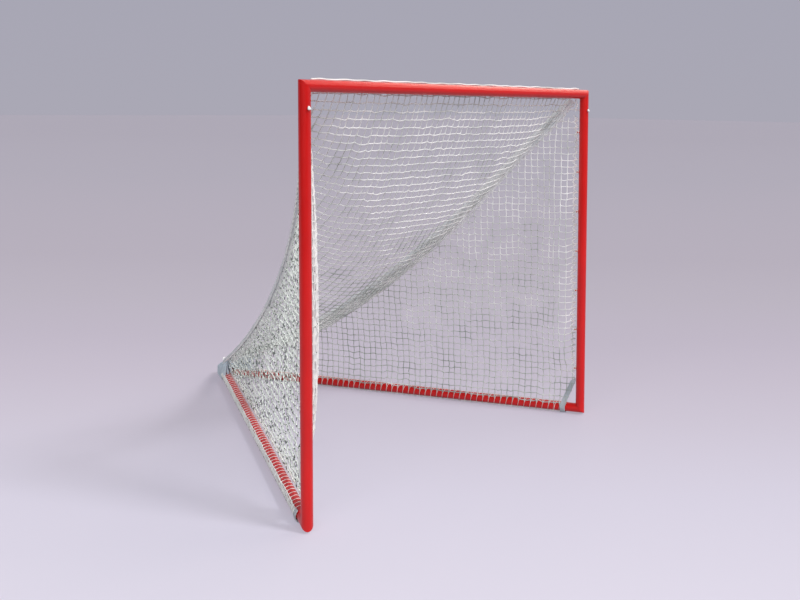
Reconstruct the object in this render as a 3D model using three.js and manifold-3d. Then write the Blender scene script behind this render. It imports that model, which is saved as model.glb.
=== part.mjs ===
// Lacrosse goal: a welded frame of round steel pipe with a laced three-panel net.
// Millimetres, +Z up, +Y from the mouth to the rear point. The ground is z = 0.

import * as THREE from "three";
import { mergeVertices } from "three/addons/utils/BufferGeometryUtils.js";
import Module from "manifold-3d";

// Frame
const mouth = 1828.8; // 6 ft clear between the posts, and from the ground to the crossbar
const clearDepth = 2133.6; // 7 ft clear from the backs of the posts to the inside of the V
const pipeDiameter = 50.8; // 2 in round tube
const pipeWall = 3;
const pipeSides = 40;
const seat = 0.3; // gap between pieces that touch
const mergeWithin = 1e-4;
const tipLength = 30; // what is left of the V's point behind the pipes' axes
const capThickness = 3;
const capMargin = 2.5;

// Lacing eyes, bent from rod and welded to the pipes
const eyeRod = 5;
const postEyeRoom = 9.6; // clear width between the two legs
const barEyeRoom = 15;
const meshesPerEye = 6;
const lowestEye = 266.7;
const topEyeDrop = 190.5; // from the crossbar down to the highest eye on a post
const eyeFreeGap = 0.4;
const eyeBend = 3.5;
const eyeSink = 4; // the legs run this far into the pipe before they are trimmed
const eyeCountSlack = 0.01; // so that a height that is just filled still counts

// Net. The solid net keeps one string in five, so its gaps stay within reason.
const mesh = 38.1; // 1.5 in square mesh
const meshesPerGap = 5;
const stringWidth = 8;
const stringDepth = 5.6;
const borderWidth = 8;
const bandLip = 0.6; // how far the solid band on the crossbar stands into the first gaps
const netGap = 0.6; // from a pipe to the border that lies along it
const leastStep = 0.12; // share of a gap's pitch: no string comes nearer an edge than this
const barWrapTop = 50; // degrees up from the crossbar's back where the net begins
const barBandEnd = 26; // where its solid band in the eyes ends
const barWrapEnd = 4; // and where it leaves the crossbar
const smallestGapSide = 22; // a leftover by an edge, smaller than this square, is closed
const netCornerHeight = 190; // the net leaves each post this high above the ground
const netCornerRun = 86; // and meets the base pipe this far from the post
const netCornerDrop = 14; // and starts this far below the corner tie
const netFootRise = 240; // up to this height the side net leans out to its hem
const netRunIn = 200; // behind the post, the side net takes this far to lie at its full lean
const backNetEnd = 0.9; // share of the ridges' length where the back net stops

// Ridges, where the back panel meets the side panels
const ridgeStartInset = 22;
const ridgeEndHeight = 88;
const ridgeDrop = 263; // sag at mid length
const ridgeDropSkew = 0.15;
const ridgeDraw = 84; // how far the side nets draw it towards the middle
const ridgeDrawSkew = 1.1;
const ridgeBandWidth = 44;
const ridgeBandDepth = 16;
const ridgeBandEndShare = 0.42; // the band's ends are drawn together to this share
const ridgeBandOpening = 3.2; // and it opens out at this rate from either end
const ridgeBandStart = 0.03;
const ridgeBandEnd = 0.985;
const ridgeBandSteps = 18;
const ridgeBandSides = 6;
const panelIntoBand = 9;

// The back net falls like a curtain from the crossbar, then sweeps to the rear point
const bellyDepth = 276; // below the ridges, where it hangs most
const bellyStart = 0.71; // lower: it falls more steeply from the crossbar
const bellyTail = 2; // lower: it stays deep for longer towards the rear point
const bellySharpness = 1.2; // nearer 1: its section is a V rather than a trough
const bellyTroughed = 3.15; // added by the crossbar, where it is flat in the middle
const bellySharpens = 3.2; // higher: the trough turns to a V nearer the crossbar
const columnSteps = 240;
const columnCrowding = 4; // the steps are short where it falls steeply

// The loose fold of side net that hangs into the mouth behind each post
const foldDepth = 70;
const foldReach = 90;
const foldTopDrop = 80; // from the crossbar's underside
const foldBottom = 285;
const foldLean = 1.6; // higher: it is fullest lower down
const foldFullness = 0.25; // lower: it keeps its depth nearer to both ends

// Hems folded round the base pipes, and the cord that laces them
const laceDiameter = 3.6;
const laceTurns = 12;
const laceStepsPerTurn = 10;
const hemThickness = 2.6;
const hemFlat = 0.8; // the hem is pressed flat this deep where it stands
const hemStart = 88;
const hemShort = 116; // it stops this far before the pipes' axes meet
const hemOuterEdge = 60; // degrees above the horizontal, on the outside
const hemInnerEdge = 180;
const hemStep = 7.5;

// Corner ties through the posts, and the gathered net at the rear point
const tieDiameter = 6;
const tieHole = 8;
const tieDrop = 64.8; // from the crossbar's underside to the hole in the post
const knotDiameter = 17;
const knotFlatness = 0.72; // depth against width
const cornerTieBow = [0, 6, -4];
const bundleHeight = 92;
const bundleRadius = 27;
const bundleSetback = 26;
const bundlePleats = 9;
const bundlePleatDepth = 2.2;
const bundleTieLoops = 3;
const bundleTieDiameter = 4.2;
const bundleTieSpace = 0.9; // between its turns
const bundleTieSteps = 12;
const bundleWaist = 0.2; // share of its height
const bundleWaistReach = 0.12;
const bundleWaistSize = 0.8;

// Worked out from the sizes above
const R = pipeDiameter / 2;
const postX = mouth / 2 + R;
const apexY = rearPoint();
const baseLength = Math.hypot(postX, apexY);
const alongX = postX / baseLength;
const alongY = apexY / baseLength;
const laceRadius = laceDiameter / 2;
const laceVertexR = (R + seat + laceRadius) / Math.cos(Math.PI / laceStepsPerTurn);
const hemInnerR = laceVertexR + laceRadius + seat;
const hemOuterR = hemInnerR + hemThickness;
const baseZ = hemOuterR - hemFlat;
const barZ = mouth + R;
const tieHeight = mouth - tieDrop;
const foldTop = mouth - foldTopDrop;
const eyePitch = mesh * meshesPerEye;
const postEyes = Math.floor((mouth - topEyeDrop - lowestEye) / eyePitch + eyeCountSlack) + 1;
const barEyes = Math.round(mouth / eyePitch);
const wrapR = R + netGap + stringDepth / 2;
const gapPitch = mesh * meshesPerGap;
const knotDepth = knotDiameter * knotFlatness;
const knotFront = R + seat + knotDepth;
const rearFace = apexY + tipLength + seat + capThickness;

const wasm = await Module();
wasm.setup();

const paint = (name) =>
  new THREE.MeshStandardMaterial({ name, color: 0xc9211e, roughness: 0.32, metalness: 0.0 });
const twine = (name) =>
  new THREE.MeshStandardMaterial({ name, color: 0xe9ebf1, roughness: 0.85, metalness: 0.0 });
const steelPaint = paint("powder_coat");
const netTwine = twine("net_twine");
const laceCord = twine("lacing_cord");

const goal = new THREE.Group();
goal.name = "lacrosse_goal";
// The origin lies under the middle of the goal's outer box.
goal.position.set(0, -(rearFace - knotFront) / 2, 0);

// The pipes' axes meet where 7 ft stays clear in front of the inside of the V.
function rearPoint() {
  let y = clearDepth;
  for (let i = 0; i < 40; i++) y = R + clearDepth + (R * Math.hypot(postX, y)) / postX;
  return y;
}

// A three.js geometry as a solid, with its faces turned to look out.
function solid(shape) {
  const bare = new THREE.BufferGeometry();
  bare.setAttribute("position", shape.getAttribute("position"));
  bare.setIndex(shape.index);
  const merged = mergeVertices(bare, mergeWithin);
  const corners = new Uint32Array(merged.index.array);
  const made = () =>
    new wasm.Manifold(
      new wasm.Mesh({
        numProp: 3,
        vertProperties: merged.attributes.position.array,
        triVerts: corners,
      }),
    );
  const body = made();
  if (body.volume() > 0) return body;
  for (let i = 0; i < corners.length; i += 3) {
    [corners[i + 1], corners[i + 2]] = [corners[i + 2], corners[i + 1]];
  }
  return made();
}

// A solid from its triangles' corners, three points to a triangle.
function solidOfCorners(corners) {
  const shape = new THREE.BufferGeometry();
  shape.setAttribute("position", new THREE.Float32BufferAttribute(corners, 3));
  return solid(shape);
}

// A solid as a three.js geometry with flat faces.
function facets(body) {
  const got = body.getMesh();
  const points = new Float32Array(got.numVert * 3);
  for (let i = 0; i < got.numVert; i++) {
    points.set(got.vertProperties.subarray(i * got.numProp, i * got.numProp + 3), i * 3);
  }
  const made = new THREE.BufferGeometry();
  made.setAttribute("position", new THREE.BufferAttribute(points, 3));
  made.setIndex(new THREE.BufferAttribute(new Uint32Array(got.triVerts), 1));
  const flat = made.toNonIndexed();
  flat.computeVertexNormals();
  return flat;
}

function addPiece(name, shape, material) {
  const piece = new THREE.Mesh(shape.isBufferGeometry ? shape : facets(shape), material);
  piece.name = name;
  goal.add(piece);
  return piece;
}

function circle(radius, sides, turn = 0) {
  const shape = new THREE.Shape();
  for (let i = 0; i < sides; i++) {
    const a = turn + (i / sides) * 2 * Math.PI;
    shape[i ? "lineTo" : "moveTo"](radius * Math.cos(a), radius * Math.sin(a));
  }
  shape.closePath();
  return shape;
}

// A path through its points in equal shares, so each step of a sweep lands on a point.
class PointPath extends THREE.Curve {
  constructor(points) {
    super();
    this.points = points;
  }
  getPoint(t) {
    const last = this.points.length - 1;
    const at = Math.min(Math.max(t, 0), 1) * last;
    const i = Math.min(Math.floor(at), last - 1);
    return this.points[i].clone().lerp(this.points[i + 1], at - i);
  }
  getUtoTmapping(u) {
    return u;
  }
}

function tube(points, radius, sides) {
  return new THREE.ExtrudeGeometry(circle(radius, sides, Math.PI / sides), {
    steps: points.length - 1,
    extrudePath: new PointPath(points),
  });
}

// Everything on the far side of a plane through point, as a block to cut away.
function beyond(point, normal) {
  const size = 4 * pipeDiameter;
  const block = new THREE.BoxGeometry(size, size, size);
  block.translate(0, 0, size / 2);
  const turn = new THREE.Quaternion().setFromUnitVectors(new THREE.Vector3(0, 0, 1), normal);
  block.applyQuaternion(turn);
  block.translate(point.x, point.y, point.z);
  return solid(block);
}

// A round tube from one axis point to another, past both ends, before its mitres are cut.
function roundTube(from, to, radius = R, inner = R - pipeWall, over = 2 * R, sides = pipeSides) {
  const ring = circle(radius, sides, Math.PI / sides);
  if (inner > 0) ring.holes.push(circle(inner, sides, Math.PI / sides));
  const run = to.clone().sub(from);
  const body = new THREE.ExtrudeGeometry(ring, {
    depth: run.length() + 2 * over,
    bevelEnabled: false,
    steps: 1,
  });
  body.translate(0, 0, -over);
  const turn = new THREE.Quaternion().setFromUnitVectors(
    new THREE.Vector3(0, 0, 1),
    run.clone().normalize(),
  );
  body.applyQuaternion(turn);
  body.translate(from.x, from.y, from.z);
  return solid(body);
}

// Cuts a pipe at a corner where another pipe leaves in direction other.
function mitre(pipe, corner, own, other) {
  const normal = other.clone().sub(own).normalize();
  const at = corner.clone().addScaledVector(normal, -seat / 2);
  return pipe.subtract(beyond(at, normal));
}

const up = new THREE.Vector3(0, 0, 1);
const foot = (side) => new THREE.Vector3(side * postX, 0, baseZ);
const topCorner = (side) => new THREE.Vector3(side * postX, 0, barZ);
const apex = new THREE.Vector3(0, apexY, baseZ);
const rearward = (side) => new THREE.Vector3(-side * alongX, alongY, 0);
const inward = (side) => new THREE.Vector3(-side * alongY, -alongX, 0);

function addPosts() {
  for (const [side, name] of [[-1, "left_post"], [1, "right_post"]]) {
    const low = foot(side);
    const high = topCorner(side);
    let post = roundTube(low, high);
    post = mitre(post, low, up, rearward(side));
    post = mitre(post, high, up.clone().negate(), new THREE.Vector3(-side, 0, 0));
    const through = new THREE.CylinderGeometry(tieHole / 2, tieHole / 2, 2 * pipeDiameter, 20);
    through.translate(side * postX, 0, tieHeight);
    addPiece(name, post.subtract(solid(through)), steelPaint);
  }
}

function addCrossbar() {
  let bar = roundTube(topCorner(-1), topCorner(1));
  for (const side of [-1, 1]) {
    const own = new THREE.Vector3(-side, 0, 0);
    bar = mitre(bar, topCorner(side), own, up.clone().negate());
  }
  addPiece("crossbar", bar, steelPaint);
}

function addBasePipes() {
  const behind = new THREE.Vector3(0, 1, 0);
  for (const [side, name] of [[-1, "left_base_pipe"], [1, "right_base_pipe"]]) {
    let pipe = roundTube(foot(side), apex, R, R - pipeWall, 4 * R);
    pipe = mitre(pipe, foot(side), rearward(side), up);
    pipe = mitre(pipe, apex, rearward(side).negate(), rearward(-side).negate());
    const end = new THREE.Vector3(0, apexY + tipLength, baseZ);
    addPiece(name, pipe.subtract(beyond(end, behind)), steelPaint);
  }
}

// The plate that closes the cut point of the V.
function addRearCap() {
  const tipHalf = (R / alongX - tipLength) * (alongX / alongY);
  const outline = new THREE.Shape();
  outline.absellipse(0, 0, tipHalf + capMargin, R, 0, 2 * Math.PI, false, 0);
  const plate = new THREE.ExtrudeGeometry(outline, {
    depth: capThickness,
    bevelEnabled: false,
    curveSegments: 16,
  });
  plate.rotateX(Math.PI / 2);
  plate.translate(0, rearFace, baseZ);
  addPiece("rear_end_cap", plate, steelPaint);
}

// One eye: a rod bent into a U that stands on a pipe, its legs trimmed to the pipe.
function eye(center, axis, out, room, reach) {
  const across = new THREE.Vector3().crossVectors(axis, out);
  const half = room / 2 + eyeRod / 2;
  const top = R + reach + eyeRod / 2;
  const arc = eyeBend * (1 - Math.SQRT1_2);
  const points = [];
  const add = (sideways, outwards) =>
    points.push(
      center.clone().addScaledVector(across, sideways).addScaledVector(out, outwards),
    );
  add(-half, R - eyeSink);
  add(-half, top - eyeBend);
  add(-half + arc, top - arc);
  add(-half + eyeBend, top);
  add(half - eyeBend, top);
  add(half - arc, top - arc);
  add(half, top - eyeBend);
  add(half, R - eyeSink);
  const far = 3 * eyeRod;
  const pipe = roundTube(
    center.clone().addScaledVector(axis, -far),
    center.clone().addScaledVector(axis, far),
    (R + seat) / Math.cos(Math.PI / pipeSides),
    0,
    0,
  );
  return solid(tube(points, eyeRod / 2, 6)).subtract(pipe);
}

function addEyes() {
  for (const [side, name] of [[-1, "left_post_eye"], [1, "right_post_eye"]]) {
    for (let i = 0; i < postEyes; i++) {
      const center = new THREE.Vector3(side * postX, 0, lowestEye + i * eyePitch);
      const reach = netGap + borderWidth + eyeFreeGap;
      const body = eye(center, up, rearward(side), postEyeRoom, reach);
      addPiece(`${name}_${i + 1}`, body, steelPaint);
    }
  }
  const lift = THREE.MathUtils.degToRad((barWrapTop + barBandEnd) / 2);
  const out = new THREE.Vector3(0, Math.cos(lift), Math.sin(lift));
  for (let i = 0; i < barEyes; i++) {
    const center = new THREE.Vector3((i - (barEyes - 1) / 2) * eyePitch, 0, barZ);
    const reach = netGap + stringDepth + eyeFreeGap;
    const body = eye(center, new THREE.Vector3(1, 0, 0), out, barEyeRoom, reach);
    addPiece(`crossbar_eye_${i + 1}`, body, steelPaint);
  }
}

const hump = (t) => 4 * t * (1 - t);

// The sagging ridge from a top corner (t = 0) to the rear point (t = 1).
function ridgePoint(side, t) {
  const leave = THREE.MathUtils.degToRad(barWrapEnd);
  const start = [postX - ridgeStartInset, wrapR * Math.cos(leave), barZ + wrapR * Math.sin(leave)];
  const drawn = ridgeDraw * hump(t) * (1 + ridgeDrawSkew * (1 - 2 * t));
  const dropped = ridgeDrop * hump(t) * (1 + ridgeDropSkew * (1 - 2 * t));
  return new THREE.Vector3(
    side * ((1 - t) * start[0] - drawn),
    start[1] + t * (apexY - start[1]),
    start[2] + t * (ridgeEndHeight - start[2]) - dropped,
  );
}

// Distance behind the post, along the base pipe, and distance inside the pipes' plane.
function runOf(side, point) {
  return point.clone().sub(foot(side)).dot(rearward(side));
}
function insideOf(side, point) {
  return point.clone().sub(foot(side)).dot(inward(side));
}

// The ridge's point above a given run along the base pipe.
function ridgeAbove(side, run) {
  let t = run / baseLength;
  for (let i = 0; i < 12; i++) {
    t += (run - runOf(side, ridgePoint(side, t))) / baseLength;
    t = Math.min(Math.max(t, 0), 1);
  }
  return ridgePoint(side, t);
}

function foldAt(run, z) {
  const x = Math.max(run - R - netGap, 0) / foldReach;
  const down = Math.min(Math.max((foldTop - z) / (foldTop - foldBottom), 0), 1);
  const full = Math.max(Math.sin(Math.PI * down ** foldLean), 0) ** foldFullness;
  return foldDepth * (x * Math.exp(1 - x)) ** 3 * full;
}

// The side net's middle surface at a run behind the post and a height.
function sidePoint(side, run, z) {
  const ridge = ridgeAbove(side, run);
  const share = Math.min(Math.max((z - baseZ) / (ridge.z - baseZ), 0), 1.05);
  const hemSide = hemInnerR + stringDepth / 2;
  const rise = Math.min(netFootRise, ridge.z - baseZ);
  const nearGround = Math.max(1 - (z - baseZ) / rise, 0) ** 2;
  const startBlend = Math.min(Math.max((run - R) / netRunIn, 0), 1);
  const depth =
    insideOf(side, ridge) * share * startBlend + hemSide * nearGround + foldAt(run, z);
  const at = foot(side).addScaledVector(rearward(side), run).addScaledVector(inward(side), depth);
  at.z = z;
  return at;
}

// The back net's middle surface at x and a share t of the way to the rear point.
function curtainPoint(x, t) {
  const deepest = bellyStart / (bellyStart + bellyTail);
  const fall = (t / deepest) ** bellyStart * ((1 - t) / (1 - deepest)) ** bellyTail;
  const ridge = ridgePoint(1, t);
  const share = Math.min(Math.abs(x) / Math.max(ridge.x, 1), 1);
  const squareness = bellySharpness + bellyTroughed * (1 - t) ** bellySharpens;
  const belly = bellyDepth * fall * (1 - share ** squareness);
  return new THREE.Vector3(x, ridge.y, ridge.z - belly);
}

// A column of the back net: how long it is from the crossbar down to each t.
const columns = new Map();
function backColumn(x) {
  const name = Math.abs(x).toFixed(2);
  if (columns.has(name)) return columns.get(name);
  const table = [{ t: 0, length: 0 }];
  let last = curtainPoint(Number(name), 0);
  for (let i = 1; i <= columnSteps; i++) {
    const t = (i / columnSteps) ** columnCrowding;
    const here = curtainPoint(Number(name), t);
    table.push({ t, length: table[i - 1].length + here.distanceTo(last) });
    last = here;
  }
  columns.set(name, table);
  return table;
}

// Reads one value of a table's rows at a place between two of them.
function between(table, by, at, value) {
  let i = 1;
  while (i < table.length - 1 && table[i][by] < at) i++;
  const [a, b] = [table[i - 1], table[i]];
  const share = Math.min(Math.max((at - a[by]) / (b[by] - a[by]), 0), 1);
  return a[value] + share * (b[value] - a[value]);
}

// The back net at x and a distance down its column, which starts on top of the crossbar.
const bandLength = wrapR * THREE.MathUtils.degToRad(barWrapTop - barBandEnd);
const wrapLength = wrapR * THREE.MathUtils.degToRad(barWrapTop - barWrapEnd);

function backPoint(x, down) {
  if (down < wrapLength) {
    const a = THREE.MathUtils.degToRad(barWrapTop) - down / wrapR;
    return new THREE.Vector3(x, wrapR * Math.cos(a), barZ + wrapR * Math.sin(a));
  }
  return curtainPoint(x, between(backColumn(x), "length", down - wrapLength, "t"));
}

// Half the back net's width at each distance down, out to the ridges.
function backWidths() {
  const widths = [];
  for (let i = 0; i <= columnSteps; i++) {
    const t = i / columnSteps;
    const half = Math.max(ridgePoint(1, t).x - panelIntoBand, 0);
    widths.push({ half, down: wrapLength + between(backColumn(half), "t", t, "length") });
  }
  return widths;
}

function clip(polygon, keep) {
  const out = [];
  polygon.forEach((p, i) => {
    const q = polygon[(i + 1) % polygon.length];
    const a = keep(p);
    const b = keep(q);
    if (a >= 0) out.push(p);
    if (a * b < 0) out.push(p.clone().lerp(q, a / (a - b)));
  });
  return out;
}

// A convex polygon with each side moved in by width(middle of the side).
function inset(polygon, width) {
  let inner = polygon.map((p) => p.clone());
  polygon.forEach((p, i) => {
    const q = polygon[(i + 1) % polygon.length];
    const side = q.clone().sub(p);
    if (side.length() < 1e-6) return;
    const normal = new THREE.Vector2(-side.y, side.x).normalize();
    const move = width(p, q);
    inner = clip(inner, (c) => c.clone().sub(p).dot(normal) - move);
  });
  return inner;
}

// A net whose main strings stand at stations, between two edges, with cross strings at crossings.
// Each gap is framed by sloping faces, so a string has a four-sided section. place(s, c) gives
// the middle surface, border is the width along an outer side, and the net is solid up to bandEnd.
function netSolid({ stations, low, high, crossings, place, border, bandEnd }) {
  const corners = [];
  const key = (p, level) => `${p.x.toFixed(3)},${p.y.toFixed(3)},${level}`;
  const points = new Map();
  const lift = (p, level) => {
    const k = key(p, level);
    if (points.has(k)) return points.get(k);
    const at = place(p.x, p.y);
    if (level !== 0) {
      const e = 0.5;
      const ds = place(p.x + e, p.y).sub(place(p.x - e, p.y));
      const dc = place(p.x, p.y + e).sub(place(p.x, p.y - e));
      at.addScaledVector(ds.cross(dc).normalize(), (level * stringDepth) / 2);
    }
    points.set(k, at);
    return at;
  };
  const face = (...list) => list.forEach((v) => corners.push(v.x, v.y, v.z));
  const sides = new Map();
  let gaps = 0;
  const closed = [];
  for (let i = 0; i + 1 < stations.length; i++) {
    const [s0, s1] = [stations[i], stations[i + 1]];
    const strip = [
      new THREE.Vector2(s0, low(s0)),
      new THREE.Vector2(s1, low(s1)),
      new THREE.Vector2(s1, high(s1)),
      new THREE.Vector2(s0, high(s0)),
    ];
    for (let j = 0; j + 1 < crossings.length; j++) {
      let cell = clip(strip, (p) => p.y - crossings[j]);
      if (cell.length > 2) cell = clip(cell, (p) => crossings[j + 1] - p.y);
      cell = cell.filter((p, k) => p.distanceTo(cell[(k + 1) % cell.length]) > 1e-3);
      if (cell.length > 2 && Math.abs(THREE.ShapeUtils.area(cell)) > 1) closed.push(cell);
    }
  }
  for (const cell of closed) {
    cell.forEach((p, k) => {
      const q = cell[(k + 1) % cell.length];
      const [a, b] = [key(p, 0), key(q, 0)];
      const back = `${b}|${a}`;
      if (sides.has(back)) sides.delete(back);
      else sides.set(`${a}|${b}`, [p, q]);
    });
  }
  const isOuter = (p, q) => sides.has(`${key(p, 0)}|${key(q, 0)}`);
  const onBand = (p, q) => Math.max(Math.abs(p.x - bandEnd), Math.abs(q.x - bandEnd)) < 1e-6;
  const widthAt = (p, q) => {
    if (isOuter(p, q)) return border;
    return onBand(p, q) ? bandLip : stringWidth / 2;
  };
  for (const cell of closed) {
    const hole = inset(cell, widthAt);
    const open = hole.length > 2 && Math.abs(THREE.ShapeUtils.area(hole)) > smallestGapSide ** 2;
    const rim = open ? hole.filter((p, k) => p.distanceTo(hole[(k + 1) % hole.length]) > 0.5) : [];
    if (open) gaps++;
    const all = [...cell, ...rim];
    const triangles = THREE.ShapeUtils.triangulateShape(cell, open ? [rim] : []);
    for (const [a, b, c] of triangles) {
      const at = (n, level) => lift(all[n], n < cell.length ? level : 0);
      const turned = THREE.ShapeUtils.area([all[a], all[b], all[c]]) < 0;
      const [p, q, r] = turned ? [a, c, b] : [a, b, c];
      face(at(p, 1), at(q, 1), at(r, 1));
      face(at(p, -1), at(r, -1), at(q, -1));
    }
  }
  for (const [p, q] of sides.values()) {
    face(lift(p, -1), lift(q, -1), lift(q, 1));
    face(lift(p, -1), lift(q, 1), lift(p, 1));
  }
  return { body: solidOfCorners(corners), gaps };
}

// The strings between two edges: both edges, and every pitch from origin between them.
function steps(from, to, pitch, origin = 0) {
  const list = [from];
  const first = Math.ceil((from - origin) / pitch + leastStep) * pitch + origin;
  for (let at = first; at < to - leastStep * pitch; at += pitch) list.push(at);
  list.push(to);
  return list;
}

// The seam band along a ridge: an oval section that is drawn together at its ends.
function ridgeBand(side, grow = 0) {
  const rows = [];
  for (let i = 0; i <= ridgeBandSteps; i++) {
    const t = ridgeBandStart + ((ridgeBandEnd - ridgeBandStart) * i) / ridgeBandSteps;
    const here = ridgePoint(side, t);
    const ahead = ridgePoint(side, t + 0.005).sub(ridgePoint(side, t - 0.005)).normalize();
    const sideOut = inward(side).negate();
    const backOut = new THREE.Vector3(0, barZ, apexY).normalize();
    const out = sideOut.add(backOut).normalize();
    const wide = new THREE.Vector3().crossVectors(ahead, out).normalize();
    const deep = new THREE.Vector3().crossVectors(wide, ahead).normalize();
    const full = Math.min(1, ridgeBandEndShare + ridgeBandOpening * Math.min(t, 1 - t));
    rows.push({ here, wide, deep, full });
  }
  const corners = [];
  const spot = (row, k) => {
    const a = ((k + 0.5) / ridgeBandSides) * 2 * Math.PI;
    const { here, wide, deep, full } = rows[row];
    return here
      .clone()
      .addScaledVector(wide, Math.cos(a) * ((ridgeBandWidth / 2) * full + grow))
      .addScaledVector(deep, Math.sin(a) * ((ridgeBandDepth / 2) * full + grow));
  };
  const face = (...list) => list.forEach((v) => corners.push(v.x, v.y, v.z));
  for (let k = 0; k < ridgeBandSides; k++) {
    for (let i = 0; i < ridgeBandSteps; i++) {
      face(spot(i, k), spot(i + 1, k), spot(i + 1, k + 1));
      face(spot(i, k), spot(i + 1, k + 1), spot(i, k + 1));
    }
    face(rows[0].here, spot(0, k), spot(0, k + 1));
    const last = ridgeBandSteps;
    face(rows[last].here, spot(last, k + 1), spot(last, k));
  }
  return solidOfCorners(corners);
}

// The net gathered at the rear point: a pleated, waisted bundle that stands on the pipes.
function rearBundle(grow = 0) {
  const rings = [
    [0, 0.9],
    [bundleWaist - bundleWaistReach, bundleWaistSize],
    [bundleWaist + bundleWaistReach, bundleWaistSize],
    [0.5, 1.0],
    [0.78, 0.92],
    [1, 0.55],
  ];
  const last = rings.length - 1;
  const around = bundlePleats * 3;
  const bottom = baseZ + R + seat;
  const corners = [];
  const face = (...list) => list.forEach((v) => corners.push(v.x, v.y, v.z));
  const spot = (row, k) => {
    const a = (k / around) * 2 * Math.PI;
    const [share, size] = rings[row];
    const pleat = bundlePleatDepth * Math.cos(bundlePleats * a);
    const r = bundleRadius * size + pleat + grow;
    let z = bottom + share * bundleHeight;
    if (row === 0) z -= grow;
    if (row === last) z += grow;
    return new THREE.Vector3(r * Math.sin(a), apexY - bundleSetback + r * Math.cos(a), z);
  };
  const middle = (row) => new THREE.Vector3(0, apexY - bundleSetback, spot(row, 0).z);
  for (let k = 0; k < around; k++) {
    for (let row = 0; row < last; row++) {
      face(spot(row, k), spot(row, k + 1), spot(row + 1, k + 1));
      face(spot(row, k), spot(row + 1, k + 1), spot(row + 1, k));
    }
    face(middle(0), spot(0, k + 1), spot(0, k));
    face(middle(last), spot(last, k), spot(last, k + 1));
  }
  return solidOfCorners(corners);
}

function addNets() {
  const bundle = rearBundle();
  const roomForBundle = rearBundle(seat);
  const bands = { [-1]: ridgeBand(-1), [1]: ridgeBand(1) };
  const roomForBand = { [-1]: ridgeBand(-1, seat), [1]: ridgeBand(1, seat) };
  let gaps = 0;

  const edgeStart = R + netGap;
  const edgeEnd = baseLength - hemShort - seat;
  for (const [side, name] of [[-1, "net_left_panel"], [1, "net_right_panel"]]) {
    const low = (run) => {
      const share = Math.min((run - edgeStart) / (netCornerRun - edgeStart), 1);
      return netCornerHeight + share * (baseZ + seat - netCornerHeight);
    };
    const seamStart = ridgePoint(side, ridgeBandStart);
    const tieSlope = (seamStart.z - tieHeight) / (runOf(side, seamStart) - edgeStart);
    const high = (run) => {
      if (run > netCornerRun) return ridgeAbove(side, run).z - panelIntoBand;
      return tieHeight - netCornerDrop + tieSlope * (run - edgeStart);
    };
    const made = netSolid({
      stations: steps(edgeStart, edgeEnd, gapPitch, netCornerRun),
      low,
      high,
      crossings: steps(0, mouth + gapPitch, gapPitch, mesh / 2),
      place: (run, z) => sidePoint(side, run, z),
      border: borderWidth,
    });
    gaps += made.gaps;
    let panel = made.body.subtract(roomForBand[side]).subtract(roomForBundle);
    panel = panel.subtract(hem(side, seat));
    addPiece(name, panel, netTwine);
  }

  const widths = backWidths();
  const half = (down) => between(widths, "down", down, "half");
  const lowest = wrapLength + between(backColumn(0), "t", backNetEnd, "length");
  const back = netSolid({
    stations: [0, bandLength / 2, bandLength, ...steps(wrapLength, lowest, gapPitch)],
    low: (down) => -half(down),
    high: (down) => half(down),
    crossings: steps(-postX, postX, gapPitch, gapPitch / 2),
    place: (down, x) => backPoint(x, down),
    border: borderWidth,
    bandEnd: bandLength,
  });
  gaps += back.gaps;
  let backBody = back.body;
  for (const side of [-1, 1]) backBody = backBody.subtract(roomForBand[side]);
  addPiece("net_back_panel", backBody.subtract(roomForBundle), netTwine);

  addPiece("left_ridge_seam", bands[-1].subtract(roomForBundle), netTwine);
  addPiece("right_ridge_seam", bands[1].subtract(roomForBundle), netTwine);
  addPiece("rear_net_bundle", bundle, netTwine);
  console.log(`net gaps: ${gaps}`);
}

// The hem: netting folded round the lower part of a base pipe, open over the top.
function hem(side, grow = 0) {
  const from = THREE.MathUtils.degToRad(hemInnerEdge) - grow / hemInnerR;
  const to = THREE.MathUtils.degToRad(360 + hemOuterEdge) + grow / hemInnerR;
  const count = Math.round((hemOuterEdge + 360 - hemInnerEdge) / hemStep);
  const outline = new THREE.Shape();
  for (let i = 0; i <= count; i++) {
    const a = from + ((to - from) * i) / count;
    const w = Math.max((hemOuterR + grow) * Math.sin(a), -baseZ);
    outline[i ? "lineTo" : "moveTo"]((hemOuterR + grow) * Math.cos(a), w);
  }
  for (let i = count; i >= 0; i--) {
    const a = from + ((to - from) * i) / count;
    outline.lineTo((hemInnerR - grow) * Math.cos(a), (hemInnerR - grow) * Math.sin(a));
  }
  outline.closePath();
  const run = new THREE.ExtrudeGeometry(outline, {
    depth: baseLength - hemShort - hemStart + 2 * grow,
    bevelEnabled: false,
    steps: 1,
  });
  const place = new THREE.Matrix4().makeBasis(inward(side).negate(), up, rearward(side));
  place.setPosition(foot(side).addScaledVector(rearward(side), hemStart - grow));
  run.applyMatrix4(place);
  return solid(run);
}

function addHems() {
  addPiece("left_base_hem", hem(-1), netTwine);
  addPiece("right_base_hem", hem(1), netTwine);
}

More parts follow.
